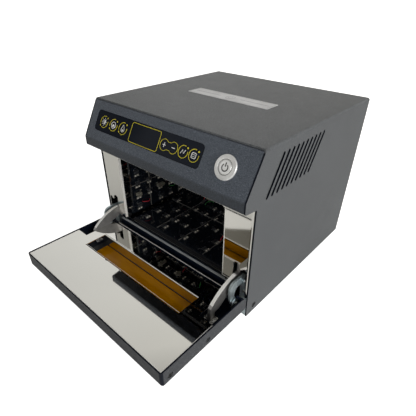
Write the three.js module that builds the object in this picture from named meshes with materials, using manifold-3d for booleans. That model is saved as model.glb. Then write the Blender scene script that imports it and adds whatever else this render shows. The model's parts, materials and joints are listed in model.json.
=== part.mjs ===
// A benchtop curing oven with a drop-down mirror door, shown with its door open and level.
// Millimetres, +Z up, +X to the right as seen from the front, +Y towards the rear.
// Inside this file y = 0 is the plane of the front frame, z = 0 the lower edge of the cover
// and x = 0 the middle. The last lines move the whole oven so that its origin is at the
// middle of its footprint, on the surface that the feet stand on.

import * as THREE from 'three';
import { mergeVertices } from 'three/addons/utils/BufferGeometryUtils.js';
import Module from 'manifold-3d';

const wasm = await Module();
wasm.setup();

// ---------------------------------------------------------------- driving dimensions

const GAP = 0.3;                 // running gap between neighbouring pieces
const FINE = 0.01;

const CASE = { width: 260, depth: 246.5, height: 207.7, sheet: 1.5, bend: 3 };
const SIDE = CASE.width / 2;                       // outer face of the cover's side walls
const INNER = SIDE - CASE.sheet;                   // inner face of the cover's side walls
const TOP = CASE.height;

// The sloping fascia, as the side walls' front edge draws it (y, z).
const SLOPE_TOP = { y: 6.2, z: TOP };
const SLOPE_FOOT = { y: -19.2, z: 163 };
const LIP_FOOT = { y: SLOPE_FOOT.y, z: 150.8 };
const LIP_BACK = { y: 0, z: 148.2 };

const VENT = { count: 10, pitch: 9.2, width: 4.2, topY: 37.9, topZ: 194.5, footY: 15.6, footZ: 155.6 };
const COVER_SCREW = { y: 14.3, z: 9.4, head: 3.4, shank: 1.7 };

const FASCIA = { sheet: 1.5, seam: 0.6, bend: 5, flange: 18 };
// Places on the slope: u runs along X, v down from the slope's top edge.
const OVERLAY = { u0: -116.5, u1: 64.7, v0: 13, v1: 39, radius: 4.7, thick: 2.5, sunk: 0.5 };
const DISPLAY = { u0: -47.8, u1: 0.3, v0: 14.6, v1: 37.7, thick: 4 };
const BUTTON = { u: 96, v: 26.8, flange: 12.5, barrel: 10.8, length: 20, cap: 7.1, travel: 2, nut: 15 };

const FRAME = { sheet: 1.2, half: 128.1, bend: 3.2, foot: 28, top: 157, flange: 12 };
const MOUTH = { half: 91.5, top: 137, tongue: 42, radius: 5 };
const ARM_SLOT = { inner: 106.3, outer: 115.3, top: 73.1, radius: 3.5, hookCut: 62 };

const CHAMBER = { half: 95, front: 1.5, floorFront: 11, back: 172, floor: 36, roof: 138.5, sheet: 1.2 };
const BOARD = { thick: 1.6, inset: 6 };

const RAIL = { half: 104.8, front: 0.3, depth: 8.4, bottom: 23.5, top: 36 };
const TRIM = { depth: 2.8, thick: 1.4, inset: 0.5 };

// The door, open and level. It turns about a line along X through the pivot.
const PIVOT = { y: -10.6, z: 25.9 };
const DOOR = { half: 129.6, front: -131.9, back: -2.1, bottom: 15, rim: 34.4, sheet: 1.5 };
const NOSE = DOOR.rim - PIVOT.z;                   // radius of the rolled rear edge
const PLATE = { half: 127.4, front: -130, back: -11.1, top: 33.8, sheet: 1 };
const NOTCH = { inner: 107.8, front: -57.9 };
const SLOT = { half: 89.8, front: -69, back: -39.8, flangeFoot: 17.8, bend: 2.5 };
const PANE = { half: 88.6, bottom: 15.1, top: 16.6 };
const RING = { thick: 0.6, margin: 0.6, width: 8 };

const ARM = { inner: 108.2, outer: 112.4, foot: 103, sheet: 1.4, arcY: 8.4, arcZ: -15.9, arcR: 72.4, leg: [-45, -37] };
const HORN = { width: 2.4, top: 79.5 };            // the arm's tail, which meets the stop behind the frame
const STOP = { inner: 104.5, outer: 117.5, back: 5.4, low: 74.5, high: 81 };
const HOOK = { inner: 116, outer: 118.5, eye: 5.3, pin: 2.2, foot: 18.5, webY: 3.4, rootY: 8.4, top: 55.8 };
const EAR = { inner: 119.3, outer: 126.9, sheet: 1.8, radius: 5.2 };
const DOOR_SCREW = { rows: [-67.3, -120.9], z: 22, head: 3 };
const MAGNET_BLOCK = { inner: 100, outer: 117, front: -126, width: 8, depth: 5 };

const FOOT = { height: 6, radius: 8, x: 109, front: 27, rear: 221 };
const REAR = { sheet: 1.5, inset: 1.6 };
const REAR_FACE = CASE.depth - REAR.inset;
const FAN = { x: 52, z: 99, size: 80, depth: 25, bore: 38 };
const INLET = { x: -84, z: 37, half: 24, rise: 11 };
const FITTING = { x: -34, z: 37, reach: 12 };
const SUPPLY = { x: [-122, -52], y: [180, 236], z: [2.4, 24] };

// ---------------------------------------------------------------- finishes

function finish(color, roughness, metalness) {
  return new THREE.MeshStandardMaterial({ color, roughness, metalness });
}

const CHARCOAL = finish(0x2d2f31, 0.6, 0.3);
const BLUE_GREY = finish(0x2b2f37, 0.55, 0.3);
const GLOSS_NAVY = finish(0x0c1018, 0.15, 0.0);
const SCREEN = finish(0x101216, 0.2, 0.0);
const BOARD_BLACK = finish(0x0b0d10, 0.5, 0.0);
const MIRROR = finish(0xd6d6d2, 0.08, 1.0);
const ZINC = finish(0x8d98a0, 0.35, 0.9);
const STEEL = finish(0xb8babb, 0.3, 1.0);
const NAVY_RAIL = finish(0x10141d, 0.45, 0.2);
const PALE_TRIM = finish(0x8c8f90, 0.5, 0.3);
const AMBER = finish(0xc07a08, 0.1, 0.0);
const RUBBER = finish(0x161616, 0.85, 0.0);
const BLACK_PLASTIC = finish(0x17181a, 0.5, 0.0);
const BRASS = finish(0xa88a4a, 0.35, 1.0);
const MAGNET = finish(0x55585c, 0.4, 0.9);

// ---------------------------------------------------------------- solids

function solid(geometry) {
  const bare = geometry.clone();
  bare.deleteAttribute('normal');
  bare.deleteAttribute('uv');
  const welded = mergeVertices(bare, 1e-4);
  return new wasm.Manifold(new wasm.Mesh({
    numProp: 3,
    vertProperties: new Float32Array(welded.attributes.position.array),
    triVerts: new Uint32Array(welded.index.array),
  }));
}

function geometryOf(body) {
  const mesh = body.getMesh();
  const geometry = new THREE.BufferGeometry();
  geometry.setAttribute('position', new THREE.BufferAttribute(mesh.vertProperties, 3));
  geometry.setIndex(new THREE.BufferAttribute(mesh.triVerts, 1));
  return geometry;
}

function cut(geometry, ...tools) {
  return geometryOf(tools.reduce((body, tool) => body.subtract(solid(tool)), solid(geometry)));
}

function join(...geometries) {
  return geometryOf(geometries.map(solid).reduce((whole, next) => whole.add(next)));
}

function common(geometry, other) {
  return geometryOf(solid(geometry).intersect(solid(other)));
}

// Corner points [a, b, radius], each with its corner rounded by that radius.
function rounded(corners, steps = 4) {
  const at = (i) => {
    const [a, b] = corners[(i + corners.length) % corners.length];
    return new THREE.Vector2(a, b);
  };
  const points = [];
  corners.forEach(([, , radius = 0], i) => {
    const here = at(i);
    if (radius === 0) {
      points.push(here);
      return;
    }
    const back = at(i - 1).sub(here).normalize();
    const ahead = at(i + 1).sub(here).normalize();
    const half = Math.acos(THREE.MathUtils.clamp(back.dot(ahead), -1, 1)) / 2;
    const reach = radius / Math.tan(half);
    const inward = back.clone().add(ahead).normalize();
    const centre = here.clone().addScaledVector(inward, radius / Math.sin(half));
    const start = here.clone().addScaledVector(back, reach).sub(centre).angle();
    const end = here.clone().addScaledVector(ahead, reach).sub(centre).angle();
    const sweep = THREE.MathUtils.euclideanModulo(end - start + Math.PI, 2 * Math.PI) - Math.PI;
    for (let k = 0; k <= steps; k += 1) {
      const angle = start + (sweep * k) / steps;
      const spoke = new THREE.Vector2(Math.cos(angle), Math.sin(angle));
      points.push(centre.clone().addScaledVector(spoke, radius));
    }
  });
  return points;
}

function rectangle(a0, a1, b0, b1, radius = 0, steps = 4) {
  return rounded([[a0, b0, radius], [a1, b0, radius], [a1, b1, radius], [a0, b1, radius]], steps);
}

function circle(a, b, radius, sides = 32) {
  const points = [];
  for (let k = 0; k < sides; k += 1) {
    const angle = (2 * Math.PI * k) / sides;
    points.push(new THREE.Vector2(a + radius * Math.cos(angle), b + radius * Math.sin(angle)));
  }
  return points;
}

// The outline of a bent sheet: an open path of [a, b, outside bend radius] and its thickness,
// laid to the left of the path. The bends all turn towards the sheet's inner side.
function bentSheet(path, thickness, steps = 4) {
  const lines = path.slice(1).map(([a, b], i) => {
    const along = new THREE.Vector2(a - path[i][0], b - path[i][1]).normalize();
    return { point: new THREE.Vector2(path[i][0], path[i][1]), along };
  });
  const left = (along) => new THREE.Vector2(-along.y, along.x);
  const inner = path.map(([a, b, radius = 0], i) => {
    const here = new THREE.Vector2(a, b);
    const before = lines[Math.max(i - 1, 0)].along;
    const after = lines[Math.min(i, lines.length - 1)].along;
    const mean = left(before).add(left(after)).normalize();
    const shift = thickness / mean.dot(left(after));
    here.addScaledVector(mean, shift);
    return [here.x, here.y, Math.max(radius - thickness, 0)];
  });
  return rounded([...path, ...inner.reverse()], steps);
}

function extrude(points, depth, holes) {
  const shape = new THREE.Shape(points);
  shape.holes = holes.map((hole) => new THREE.Path(hole));
  return new THREE.ExtrudeGeometry(shape, { depth, bevelEnabled: false });
}

const ALONG_X = new THREE.Matrix4().makeBasis(
  new THREE.Vector3(0, 1, 0),
  new THREE.Vector3(0, 0, 1),
  new THREE.Vector3(1, 0, 0),
);
const ALONG_Y = new THREE.Matrix4().makeBasis(
  new THREE.Vector3(1, 0, 0),
  new THREE.Vector3(0, 0, 1),
  new THREE.Vector3(0, -1, 0),
);

// A (y, z) outline swept along X, an (x, z) outline along Y and an (x, y) outline along Z.
function alongX(points, x0, x1, holes = []) {
  return extrude(points, Math.abs(x1 - x0), holes).applyMatrix4(ALONG_X).translate(Math.min(x0, x1), 0, 0);
}

function alongY(points, y0, y1, holes = []) {
  return extrude(points, y1 - y0, holes).applyMatrix4(ALONG_Y).translate(0, y1, 0);
}

function alongZ(points, z0, z1, holes = []) {
  return extrude(points, z1 - z0, holes).translate(0, 0, z0);
}

function box(x0, x1, y0, y1, z0, z1) {
  const geometry = new THREE.BoxGeometry(Math.abs(x1 - x0), y1 - y0, z1 - z0);
  return geometry.translate((x0 + x1) / 2, (y0 + y1) / 2, (z0 + z1) / 2);
}

// A turned piece: a (radius, height) profile that starts and ends on the axis, about Z.
function turned(profile, sides = 32) {
  const points = profile.map(([radius, height]) => new THREE.Vector2(radius, height));
  return geometryOf(solid(new THREE.LatheGeometry(points, sides).rotateX(Math.PI / 2)));
}

const oven = new THREE.Group();

function add(name, geometry, material, parent = oven) {
  const mesh = new THREE.Mesh(geometry, material);
  mesh.name = name;
  parent.add(mesh);
  return mesh;
}

// ---------------------------------------------------------------- the slope's own frame

const slopeRun = SLOPE_TOP.y - SLOPE_FOOT.y;
const slopeRise = SLOPE_TOP.z - SLOPE_FOOT.z;
const SLOPE_TILT = Math.atan2(slopeRise, slopeRun);

// Everything in this group has x = u, y = -v and z = height above the slope's face.
const slope = new THREE.Group();
slope.position.set(0, SLOPE_TOP.y, SLOPE_TOP.z);
slope.rotation.x = SLOPE_TILT;
slope.updateMatrix();
oven.add(slope);

function fromSlope(geometry) {
  return geometry.applyMatrix4(slope.matrix);
}

// ---------------------------------------------------------------- cover

function sideOutline() {
  return rounded([
    [0, 0],
    [CASE.depth, 0],
    [CASE.depth, TOP],
    [SLOPE_TOP.y, SLOPE_TOP.z],
    [SLOPE_FOOT.y, SLOPE_FOOT.z, 4],
    [LIP_FOOT.y, LIP_FOOT.z, 2],
    [LIP_BACK.y, LIP_BACK.z],
  ], 3);
}

function ventSlots() {
  const run = VENT.topY - VENT.footY;
  const rise = VENT.topZ - VENT.footZ;
  const length = Math.hypot(run, rise);
  const half = VENT.width / 2;
  const tilt = Math.atan2(rise, run);
  const slots = [];
  for (let i = 0; i < VENT.count; i += 1) {
    const outline = rectangle(-half, length + half, -half, half, half - FINE, 3);
    const origin = new THREE.Vector2(0, 0);
    outline.forEach((point) => {
      point.rotateAround(origin, tilt);
      point.x += VENT.footY + i * VENT.pitch;
      point.y += VENT.footZ;
    });
    slots.push(alongX(outline, -SIDE - 1, SIDE + 1));
  }
  return slots;
}

function outerCover() {
  const wrap = bentSheet(
    [[SIDE, 0], [SIDE, TOP, CASE.bend], [-SIDE, TOP, CASE.bend], [-SIDE, 0]],
    CASE.sheet,
  );
  const blank = alongY(wrap, SLOPE_FOOT.y, CASE.depth);
  const walls = common(blank, alongX(sideOutline(), -SIDE - 1, SIDE + 1));
  const screwHole = alongX(circle(COVER_SCREW.y, COVER_SCREW.z, COVER_SCREW.head + GAP, 20), -SIDE - 1, SIDE + 1);
  return cut(walls, screwHole, ...ventSlots());
}

add('outer_cover', outerCover(), CHARCOAL);

// ---------------------------------------------------------------- fascia and controls

function frontFascia() {
  const under = TOP - CASE.sheet - FASCIA.seam;
  const onSlope = (TOP - under) / slopeRise;
  const outline = bentSheet([
    [SLOPE_TOP.y - slopeRun * onSlope + FASCIA.flange, under],
    [SLOPE_TOP.y - slopeRun * onSlope, under, 2],
    [SLOPE_FOOT.y, SLOPE_FOOT.z, FASCIA.bend],
    [LIP_FOOT.y, LIP_FOOT.z, 2.5],
    [LIP_BACK.y - 2, LIP_BACK.z + 0.2],
  ], FASCIA.sheet);
  const half = INNER - FASCIA.seam;
  const window = rectangle(OVERLAY.u0, OVERLAY.u1, -OVERLAY.v1, -OVERLAY.v0, OVERLAY.radius);
  const hole = circle(BUTTON.u, -BUTTON.v, BUTTON.barrel + GAP);
  return cut(
    alongX(outline, -half, half),
    fromSlope(alongZ(window, -FASCIA.sheet - 1, 1)),
    fromSlope(alongZ(hole, -FASCIA.sheet - 1, 1)),
  );
}

add('front_fascia', frontFascia(), BLUE_GREY);

function controls() {
  const face = -OVERLAY.sunk;
  const back = face - OVERLAY.thick;
  const panel = rectangle(
    OVERLAY.u0 + GAP,
    OVERLAY.u1 - GAP,
    GAP - OVERLAY.v1,
    -GAP - OVERLAY.v0,
    OVERLAY.radius - GAP,
  );
  add('control_overlay', alongZ(panel, back, face), GLOSS_NAVY, slope);

  const screenTop = back - GAP;
  const screenBack = screenTop - DISPLAY.thick;
  add(
    'display_module',
    box(DISPLAY.u0, DISPLAY.u1, -DISPLAY.v1, -DISPLAY.v0, screenBack, screenTop),
    SCREEN,
    slope,
  );
  const boardTop = screenBack - GAP;
  add(
    'control_board',
    box(OVERLAY.u0 + 4, OVERLAY.u1 - 6, -OVERLAY.v1 - 3, -OVERLAY.v0 + 3, boardTop - BOARD.thick, boardTop),
    BOARD_BLACK,
    slope,
  );
}

controls();

function powerButton() {
  const seat = BUTTON.cap + GAP;
  const wellFloor = -6.5;
  const body = add('power_button_body', turned([
    [0, -BUTTON.length],
    [BUTTON.barrel, -BUTTON.length],
    [BUTTON.barrel, GAP],
    [BUTTON.flange, GAP],
    [BUTTON.flange, 1.5],
    [BUTTON.flange - 0.6, 2.1],
    [seat + 1.2, 2.4],
    [seat, 1.9],
    [seat, wellFloor],
    [0, wellFloor],
  ], 40), STEEL, slope);
  const cap = add('power_button_cap', turned([
    [0, wellFloor + BUTTON.travel + 1],
    [BUTTON.cap, wellFloor + BUTTON.travel + 1],
    [BUTTON.cap, 1.7],
    [BUTTON.cap - 0.5, 2.2],
    [0, 2.2],
  ], 40), STEEL, slope);
  const nutTop = -FASCIA.sheet - GAP;
  const nut = add(
    'power_button_nut',
    alongZ(circle(0, 0, BUTTON.nut, 6), nutTop - 3, nutTop, [circle(0, 0, BUTTON.barrel + GAP)]),
    BRASS,
    slope,
  );
  [body, cap, nut].forEach((piece) => piece.position.set(BUTTON.u, -BUTTON.v, 0));
}

powerButton();

// ---------------------------------------------------------------- front frame, rail and chamber

function frontFrame() {
  const plan = bentSheet([
    [-FRAME.half, FRAME.flange],
    [-FRAME.half, 0, FRAME.bend],
    [FRAME.half, 0, FRAME.bend],
    [FRAME.half, FRAME.flange],
  ], FRAME.sheet);
  const rightSide = [
    [MOUTH.half, MOUTH.top, MOUTH.radius],
    [MOUTH.half, MOUTH.tongue, MOUTH.radius],
    [ARM_SLOT.inner, MOUTH.tongue, MOUTH.radius],
    [ARM_SLOT.inner, ARM_SLOT.top, ARM_SLOT.radius],
    [ARM_SLOT.outer, ARM_SLOT.top, ARM_SLOT.radius],
    [ARM_SLOT.outer, ARM_SLOT.hookCut, 2],
    [FRAME.half - FRAME.bend, ARM_SLOT.top, 2.5],
    [FRAME.half - FRAME.bend, 0],
  ];
  const leftSide = rightSide.map(([x, z, radius]) => [-x, z, radius]).reverse();
  const opening = rounded([...rightSide, ...leftSide]);
  return cut(alongZ(plan, FRAME.foot, FRAME.top), alongY(opening, -2, FRAME.flange + 2));
}

add('front_frame', frontFrame(), MIRROR);

function frontRail() {
  const back = RAIL.front + RAIL.depth;
  const section = rectangle(RAIL.front, back, RAIL.bottom, RAIL.top, 1.5, 2);
  add('front_rail', alongX(section, -RAIL.half, RAIL.half), NAVY_RAIL);
  const trimEnd = RAIL.half - TRIM.inset;
  const trimY = [RAIL.front + TRIM.inset, RAIL.front + TRIM.inset + TRIM.depth];
  add('rail_trim', box(-trimEnd, trimEnd, ...trimY, RAIL.top + GAP, RAIL.top + GAP + TRIM.thick), PALE_TRIM);
  const member = bentSheet([[back + 0.5, RAIL.top - 2], [back + 0.5, 2.7, 2], [back + 14, 2.7]], 1.5, 2);
  add('front_cross_member', alongX(member, -RAIL.half, RAIL.half), ZINC);
}

frontRail();

function chamber() {
  const c = CHAMBER;
  const wall = c.half + GAP;
  const outer = wall + c.sheet;
  const floor = [c.floor - GAP - c.sheet, c.floor - GAP];
  const roof = [c.roof + GAP, c.roof + GAP + c.sheet];
  const sill = RAIL.top + GAP + TRIM.thick + GAP;
  const side = rounded([
    [c.front, sill],
    [c.floorFront, sill],
    [c.floorFront, c.floor],
    [c.back, c.floor],
    [c.back, c.roof],
    [c.front, c.roof],
  ]);
  add('chamber_floor', box(-outer, outer, c.floorFront, c.back, ...floor), MIRROR);
  add('chamber_roof', box(-outer, outer, c.front, c.back, ...roof), MIRROR);
  add('chamber_wall_left', alongX(side, -outer, -wall), MIRROR);
  add('chamber_wall_right', alongX(side, wall, outer), MIRROR);
  add('chamber_back', box(-outer, outer, c.back + GAP, c.back + GAP + c.sheet, floor[0], roof[1]), MIRROR);

  const near = c.floorFront + BOARD.inset;
  const far = c.back - BOARD.inset;
  const low = c.floor + BOARD.inset;
  const high = c.roof - BOARD.inset;
  const across = c.half - BOARD.inset;
  const skin = [c.half - BOARD.thick, c.half];
  add('led_board_floor', box(-across, across, near, far, c.floor, c.floor + BOARD.thick), BOARD_BLACK);
  add('led_board_roof', box(-across, across, near, far, c.roof - BOARD.thick, c.roof), BOARD_BLACK);
  add('led_board_left', box(-skin[1], -skin[0], near, far, low, high), BOARD_BLACK);
  add('led_board_right', box(skin[0], skin[1], near, far, low, high), BOARD_BLACK);
  add('led_board_back', box(-across, across, c.back - BOARD.thick, c.back, low, high), BOARD_BLACK);
}

chamber();

// ---------------------------------------------------------------- base, rear and services

function basePlate() {
  const half = INNER - 0.4;
  const pan = box(-half, half, GAP, REAR_FACE - REAR.sheet - GAP, 0.6, 15);
  const wall = 1.5;
  const hollow = box(-half + wall, half - wall, GAP + wall, CASE.depth, 0.6 + wall, 20);
  const { y, z, shank } = COVER_SCREW;
  const screwHoles = alongX(circle(y, z, shank + GAP, 16), -SIDE, SIDE);
  return cut(pan, hollow, screwHoles);
}

add('base_plate', basePlate(), ZINC);

function rearPanel() {
  const sheet = rectangle(-INNER + 0.4, INNER - 0.4, 0.8, TOP - CASE.sheet - 0.4, 2, 2);
  const holes = [
    circle(FAN.x, FAN.z, FAN.bore, 40),
    rectangle(INLET.x - 14.5, INLET.x + 14.5, INLET.z - 10.5, INLET.z + 10.5),
    circle(FITTING.x, FITTING.z, 5.3, 20),
  ];
  const louvres = { count: 8, pitch: 8, x0: -108, x1: -52, z: 126 };
  for (let i = 0; i < louvres.count; i += 1) {
    const z = louvres.z + i * louvres.pitch;
    holes.push(rectangle(louvres.x0, louvres.x1, z, z + 3, 1.4, 2));
  }
  return alongY(sheet, REAR_FACE - REAR.sheet, REAR_FACE, holes);
}

add('rear_panel', rearPanel(), CHARCOAL);

function fan() {
  const back = REAR_FACE - REAR.sheet - GAP;
  const front = back - FAN.depth;
  const half = FAN.size / 2;
  const square = rectangle(FAN.x - half, FAN.x + half, FAN.z - half, FAN.z + half, 4, 3);
  const tunnel = circle(FAN.x, FAN.z, FAN.bore, 40);
  const shell = alongY(square, front, back, [tunnel]);
  const motor = alongY(circle(FAN.x, FAN.z, 15, 20), front, front + 3);
  const strut = box(FAN.x - FAN.bore - 1, FAN.x + FAN.bore + 1, front, front + 3, FAN.z - 2, FAN.z + 2);
  const post = box(FAN.x - 2, FAN.x + 2, front, front + 3, FAN.z - FAN.bore - 1, FAN.z + FAN.bore + 1);
  add('fan_frame', join(shell, motor, strut, post), BLACK_PLASTIC);

  const hub = alongY(circle(0, 0, 16, 28), -10, 9);
  const blades = [];
  const count = 7;
  for (let i = 0; i < count; i += 1) {
    const blade = new THREE.BoxGeometry(21, 1.2, 17);
    blade.rotateX(THREE.MathUtils.degToRad(38));
    blade.translate(25, 0, 0);
    blade.rotateY((2 * Math.PI * i) / count);
    blades.push(blade);
  }
  const rotor = add('fan_rotor', join(hub, ...blades), BLACK_PLASTIC);
  rotor.position.set(FAN.x, front + 14, FAN.z);

  const guardY = [REAR_FACE + GAP, REAR_FACE + GAP + 1.6];
  const rings = [8, 16, 24, 32, 39].map((radius) => (
    alongY(circle(FAN.x, FAN.z, radius, 32), ...guardY, [circle(FAN.x, FAN.z, radius - 1.6, 32)])
  ));
  const spokes = [1, 3, 5, 7].map((eighth) => {
    const bar = new THREE.BoxGeometry(46, guardY[1] - guardY[0], 1.8);
    bar.translate(29, 0, 0).rotateY((Math.PI * eighth) / 4);
    return bar.translate(FAN.x, (guardY[0] + guardY[1]) / 2, FAN.z);
  });
  add('fan_guard', join(...rings, ...spokes), STEEL);
}

fan();

function services() {
  add('power_supply', box(...SUPPLY.x, ...SUPPLY.y, ...SUPPLY.z), STEEL);

  const face = REAR_FACE + GAP + 2;
  const flange = rectangle(
    INLET.x - INLET.half,
    INLET.x + INLET.half,
    INLET.z - INLET.rise,
    INLET.z + INLET.rise,
    4,
    3,
  );
  const shell = alongY(flange, REAR_FACE + GAP, face);
  const housing = box(INLET.x - 14, INLET.x + 14, REAR_FACE - 22, face, INLET.z - 10, INLET.z + 10);
  const floorY = face - 17;
  const mouth = rectangle(INLET.x - 12, INLET.x + 12, INLET.z - 8, INLET.z + 8, 3, 2);
  const well = alongY(mouth, floorY, face + 1);
  const pins = [-7, 0, 7].map((offset) => {
    const x = INLET.x + offset;
    const z = INLET.z + (offset === 0 ? 2 : -2);
    return box(x - 1, x + 1, floorY - 1, face - 6, z - 2, z + 2);
  });
  add('mains_inlet', join(cut(join(shell, housing), well), ...pins), BLACK_PLASTIC);

  const fitting = turned([
    [0, -8],
    [5, -8],
    [5, 0.3],
    [7.5, 0.3],
    [7.5, 4],
    [4.5, 4.6],
    [4.5, 6],
    [3.6, 7.5],
    [3.6, FITTING.reach - 3],
    [4.2, FITTING.reach - 2.6],
    [3.2, FITTING.reach],
    [1.6, FITTING.reach],
    [1.6, -6],
    [0, -6],
  ], 24).rotateX(-Math.PI / 2);
  add('gas_inlet_fitting', fitting, BRASS).position.set(FITTING.x, REAR_FACE, FITTING.z);
}

services();

function feet() {
  [['front', FOOT.front], ['rear', FOOT.rear]].forEach(([row, y]) => {
    [['left', -FOOT.x], ['right', FOOT.x]].forEach(([hand, x]) => {
      const rubber = turned([
        [0, -FOOT.height],
        [FOOT.radius - 1.5, -FOOT.height],
        [FOOT.radius - 0.5, -FOOT.height + 1],
        [FOOT.radius, GAP],
        [0, GAP],
      ], 24);
      add(`foot_${row}_${hand}`, rubber, RUBBER).position.set(x, y, 0);
    });
  });
}

feet();

// ---------------------------------------------------------------- door

function doorTray() {
  const skin = DOOR.sheet;
  const profile = rounded([
    [DOOR.front, DOOR.rim],
    [DOOR.front, DOOR.bottom, 2.5],
    [DOOR.back, DOOR.bottom, 2.5],
    [DOOR.back, DOOR.rim, NOSE],
  ], 6);
  const blank = alongX(profile, -DOOR.half, DOOR.half);
  const plan = rectangle(-DOOR.half, DOOR.half, DOOR.front, DOOR.back + 10, 3.5, 4);
  const shell = common(blank, alongZ(plan, DOOR.bottom - 1, DOOR.rim + 1));

  const pocket = rounded([
    [DOOR.front + skin, DOOR.rim + 9],
    [DOOR.front + skin, DOOR.bottom + skin, 1],
    [DOOR.back - skin, DOOR.bottom + skin, 1],
    [DOOR.back - skin, DOOR.rim - skin, NOSE - skin],
    [PIVOT.y + 0.8, DOOR.rim - skin],
    [PIVOT.y + 0.8, DOOR.rim + 9],
  ], 6);
  const inside = DOOR.half - skin;
  const hollow = alongX(pocket, -inside, inside);
  const opening = alongZ(
    rectangle(-PANE.half - GAP, PANE.half + GAP, SLOT.front - 2, SLOT.back + 2),
    DOOR.bottom - 1,
    DOOR.bottom + skin + 1,
  );
  const hookGaps = [-1, 1].map((hand) => (
    box(hand * (HOOK.inner - 1.5), hand * (HOOK.outer + 1.5), PIVOT.y - 1, PIVOT.y + 4.6, 30, DOOR.rim + 4)
  ));
  const sideHoles = DOOR_SCREW.rows.map((y) => (
    alongX(circle(y, DOOR_SCREW.z, DOOR_SCREW.head + GAP, 16), -SIDE - 1, SIDE + 1)
  ));
  return cut(shell, hollow, opening, ...hookGaps, ...sideHoles);
}

function mirrorPlate() {
  const p = PLATE;
  const outline = rounded([
    [-p.half, p.front],
    [p.half, p.front],
    [p.half, NOTCH.front],
    [NOTCH.inner, NOTCH.front],
    [NOTCH.inner, p.back],
    [-NOTCH.inner, p.back],
    [-NOTCH.inner, NOTCH.front],
    [-p.half, NOTCH.front],
  ]);
  const bend = SLOT.bend;
  const slot = rectangle(-SLOT.half, SLOT.half, SLOT.front - bend, SLOT.back + bend);
  const sheet = alongZ(outline, p.top - p.sheet, p.top, [slot]);
  const foot = SLOT.flangeFoot;
  const rear = bentSheet([[SLOT.back + bend + 1, p.top], [SLOT.back, p.top, bend], [SLOT.back, foot]], p.sheet);
  const near = bentSheet([[SLOT.front, foot], [SLOT.front, p.top, bend], [SLOT.front - bend - 1, p.top]], p.sheet);
  return join(sheet, alongX(rear, -SLOT.half, SLOT.half), alongX(near, -SLOT.half, SLOT.half));
}

function doorWindow() {
  const opening = [SLOT.front - 2 + GAP, SLOT.back + 2 - GAP];
  add('door_window', box(-PANE.half, PANE.half, ...opening, PANE.bottom, PANE.top), AMBER);
  const m = RING.margin;
  const inner = rectangle(-PANE.half + 2, PANE.half - 2, SLOT.front + m, SLOT.back - m, 1, 2);
  const w = RING.width;
  const outer = rectangle(-PANE.half - w, PANE.half + w, SLOT.front - w, SLOT.back + w, 2, 2);
  const seat = PANE.top + GAP;
  add('window_retainer', alongZ(outer, seat, seat + RING.thick, [inner]), BLACK_PLASTIC);
}

// A blade through the plate's corner notch and the frame's slot, with a foot on the tray's floor.
function doorArm(hand) {
  const a = ARM;
  const stand = PLATE.top + GAP;
  const tray = DOOR.bottom + DOOR.sheet + GAP;
  const horn = STOP.back + GAP;
  const toe = Math.PI - Math.asin((stand - a.arcZ) / a.arcR);
  const tail = Math.acos((horn - a.arcY) / a.arcR);
  const steps = 18;
  const arc = Array.from({ length: steps + 1 }, (_, i) => {
    const angle = toe + ((tail - toe) * i) / steps;
    return [a.arcY + a.arcR * Math.cos(angle), a.arcZ + a.arcR * Math.sin(angle)];
  });
  const blade = rounded([
    ...arc,
    [horn, HORN.top, 0.6],
    [horn + HORN.width, HORN.top, 0.6],
    [horn + HORN.width, 44.5, 2.5],
    [0, 40.9, 3.5],
    [PIVOT.y - 4, stand + 2, 4],
    [a.leg[1] + 8, stand - 8, 4],
    [a.leg[1], stand - 9, 1.5],
    [a.leg[1], tray],
    [a.leg[0], tray],
  ]);
  return join(
    alongX(blade, hand * a.inner, hand * a.outer),
    box(hand * a.foot, hand * a.outer, ...a.leg, tray, tray + a.sheet),
  );
}

// A hook bracket stands on the case. Its hook comes out over the door's rolled rear edge and
// down into the tray's corner, where the pivot pin is.
function hingeBracket(hand) {
  const hook = rounded([
    [PIVOT.y - HOOK.eye, PIVOT.z],
    [-19, 34.4, 7],
    [-19, HOOK.top, 9],
    [HOOK.rootY, HOOK.top, 2.5],
    [HOOK.rootY, HOOK.foot],
    [HOOK.webY, HOOK.foot],
    [HOOK.webY, 44.5, 2.5],
    [-9.4, 44.5, 6],
    [-10.9, 33.5, 4],
    [PIVOT.y + HOOK.eye - 2, PIVOT.z + 3.5],
    [PIVOT.y, PIVOT.z],
  ]);
  const span = [hand * HOOK.inner, hand * HOOK.outer];
  const eye = alongX(circle(PIVOT.y, PIVOT.z, HOOK.eye, 28), ...span);
  const far = FRAME.half - FRAME.sheet - GAP;
  const web = box(hand * (HOOK.outer - 1), hand * far, HOOK.webY, HOOK.webY + 2, HOOK.foot, 50);
  const side = box(hand * (far - 2), hand * far, HOOK.webY, 22, HOOK.foot, 48);
  const bore = alongX(
    circle(PIVOT.y, PIVOT.z, HOOK.pin + GAP, 20),
    hand * (HOOK.inner - 2),
    hand * (HOOK.outer + 2),
  );
  return cut(join(alongX(hook, ...span), eye, web, side), bore);
}

// The ear stands on the tray's floor and turns on the pin with the door.
function hingeEar(hand) {
  const floor = DOOR.bottom + DOOR.sheet + GAP;
  const near = hand * EAR.inner;
  const profile = rounded([
    [PIVOT.y - EAR.radius, floor],
    [PIVOT.y + EAR.radius, floor],
    [PIVOT.y + EAR.radius, PIVOT.z + EAR.radius, EAR.radius - FINE],
    [PIVOT.y - EAR.radius, PIVOT.z + EAR.radius, EAR.radius - FINE],
  ]);
  const plate = alongX(profile, near, hand * (EAR.inner + EAR.sheet));
  const foot = box(near, hand * EAR.outer, PIVOT.y - EAR.radius, PIVOT.y + EAR.radius, floor, floor + EAR.sheet);
  const bore = alongX(circle(PIVOT.y, PIVOT.z, HOOK.pin + GAP, 20), near - 5, near + 5);
  return cut(join(plate, foot), bore);
}

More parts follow.
